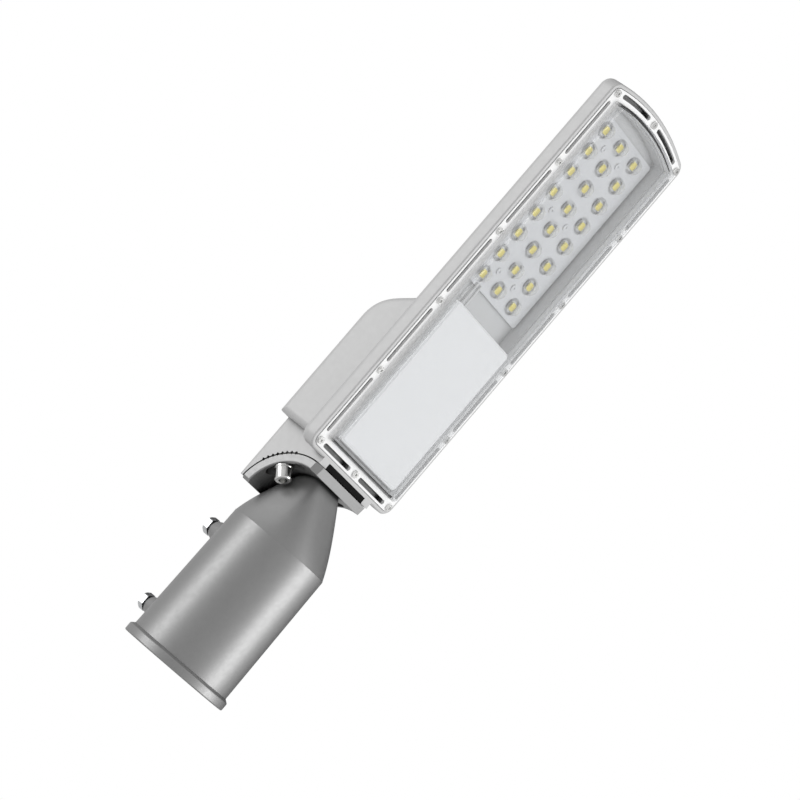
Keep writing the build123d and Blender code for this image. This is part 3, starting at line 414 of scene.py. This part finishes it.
NODE_MATERIALS = {
    "spigot": "spigot",
    "housing": "housing",
    "joint_seal": "rubber",
    "pole_bolt_front": "zinc",
    "pole_bolt_rear": "zinc",
    "tilt_screw_left": "nickel",
    "tilt_screw_right": "nickel",
    "spring_washer_left": "nickel",
    "spring_washer_right": "nickel",
    "tilt_washer_left": "nickel",
    "tilt_washer_right": "nickel",
    "clear_cover": "cover",
    "cover_gasket": "silicone",
    "cover_screws": "stainless",
    "thermal_pad": "pad",
    "led_board": "board",
    "board_screws": "board",
    "led_chips": "phosphor",
    "led_lenses": "lens",
    "driver_plate": "plate",
    "led_driver": "case",
    "driver_screws": "zinc",
    "surge_protector": "module",
    "terminal_block": "terminal",
    "earth_screw": "brass",
    "cable_grommet": "rubber",
    "breather_vent": "vent",
    "output_leads": "white",
    "mains_leads": "blue",
}


def dress(nodes, made):
    """Gives each CAD node its material."""
    for name, key in NODE_MATERIALS.items():
        piece = nodes[name]
        piece.data.materials.clear()
        piece.data.materials.append(made[key])


# ---------------------------------------------------------------- studio
def floor_paper(name, colour):
    """Matt paper of one even colour."""
    material, tree, shader = new_material(name)
    shader.inputs["Base Color"].default_value = (*colour, 1)
    shader.inputs["Roughness"].default_value = FLOOR_ROUGHNESS
    return material


def add_plane(name, centre, width, depth, turn, material):
    mesh = bpy.data.meshes.new(name)
    x, y = width / 2, depth / 2
    corners = [(-x, -y, 0), (x, -y, 0), (x, y, 0), (-x, y, 0)]
    mesh.from_pydata(corners, [], [(0, 1, 2, 3)])
    piece = bpy.data.objects.new(name, mesh)
    piece.location = centre
    piece.rotation_euler = turn
    piece.data.materials.append(material)
    bpy.context.scene.collection.objects.link(piece)
    return piece


def add_lamp(name, target, direction, distance, width, height, power):
    """Soft box that shines on the target from a direction."""
    data = bpy.data.lights.new(name, "AREA")
    data.shape = "RECTANGLE"
    data.size = width
    data.size_y = height
    data.energy = power
    lamp = bpy.data.objects.new(name, data)
    way = Vector(direction).normalized()
    lamp.location = target + way * distance
    lamp.rotation_mode = "QUATERNION"
    lamp.rotation_quaternion = way.to_track_quat("Z", "Y")
    bpy.context.scene.collection.objects.link(lamp)
    return lamp


def make_surroundings():
    """White backdrop. What the object mirrors also has one dark side, like a black flag in a studio."""
    world = bpy.data.worlds.new("studio_world")
    world.use_nodes = True
    tree = world.node_tree
    backdrop = tree.nodes["Background"]
    backdrop.inputs["Color"].default_value = (1, 1, 1, 1)
    backdrop.inputs["Strength"].default_value = BACKDROP_GLOW
    place = tree.nodes.new("ShaderNodeTexCoord")
    along = tree.nodes.new("ShaderNodeVectorMath")
    along.operation = "DOT_PRODUCT"
    along.inputs[1].default_value = Vector(FLAG_SIDE).normalized()
    tree.links.new(place.outputs["Generated"], along.inputs[0])
    dim = tree.nodes.new("ShaderNodeMapRange")
    dim.interpolation_type = "SMOOTHSTEP"
    dim.inputs["From Min"].default_value = FLAG_EDGE[0]
    dim.inputs["From Max"].default_value = FLAG_EDGE[1]
    dim.inputs["To Min"].default_value = SURROUND_GLOW
    dim.inputs["To Max"].default_value = FLAG_GLOW
    tree.links.new(along.outputs["Value"], dim.inputs["Value"])
    surround = tree.nodes.new("ShaderNodeBackground")
    tree.links.new(dim.outputs["Result"], surround.inputs["Strength"])
    seen = tree.nodes.new("ShaderNodeLightPath")
    mix = tree.nodes.new("ShaderNodeMixShader")
    tree.links.new(seen.outputs["Is Camera Ray"], mix.inputs["Fac"])
    tree.links.new(surround.outputs["Background"], mix.inputs[1])
    tree.links.new(backdrop.outputs["Background"], mix.inputs[2])
    tree.links.new(mix.outputs["Shader"], tree.nodes["World Output"].inputs["Surface"])
    return world


def make_studio(target):
    scene = bpy.context.scene
    scene.view_settings.view_transform = "Standard"
    scene.world = make_surroundings()
    pale = floor_paper("floor_pale", FLOOR_PAPER)
    add_plane("floor", (target.x, 0, FLOOR_LEVEL), FLOOR_SIDE, FLOOR_SIDE, (0, 0, 0), pale)
    add_lamp("front_light", target, *FRONT_LIGHT)
    add_lamp("under_light", target, *UNDER_LIGHT)


def make_camera():
    data = bpy.data.cameras.new("camera")
    data.lens = CAMERA_LENS
    data.sensor_width = CAMERA_SENSOR
    data.clip_start, data.clip_end = CAMERA_CLIP
    camera = bpy.data.objects.new("camera", data)
    camera.location = CAMERA_PLACE
    camera.rotation_mode = "QUATERNION"
    camera.rotation_quaternion = CAMERA_TURN
    bpy.context.scene.collection.objects.link(camera)
    bpy.context.scene.camera = camera


def main():
    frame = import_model()
    cad_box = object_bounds()
    made = make_materials()
    dress(frame["nodes"], made)
    low, high = cad_box
    make_studio((low + high) / 2)
    make_camera()


main()
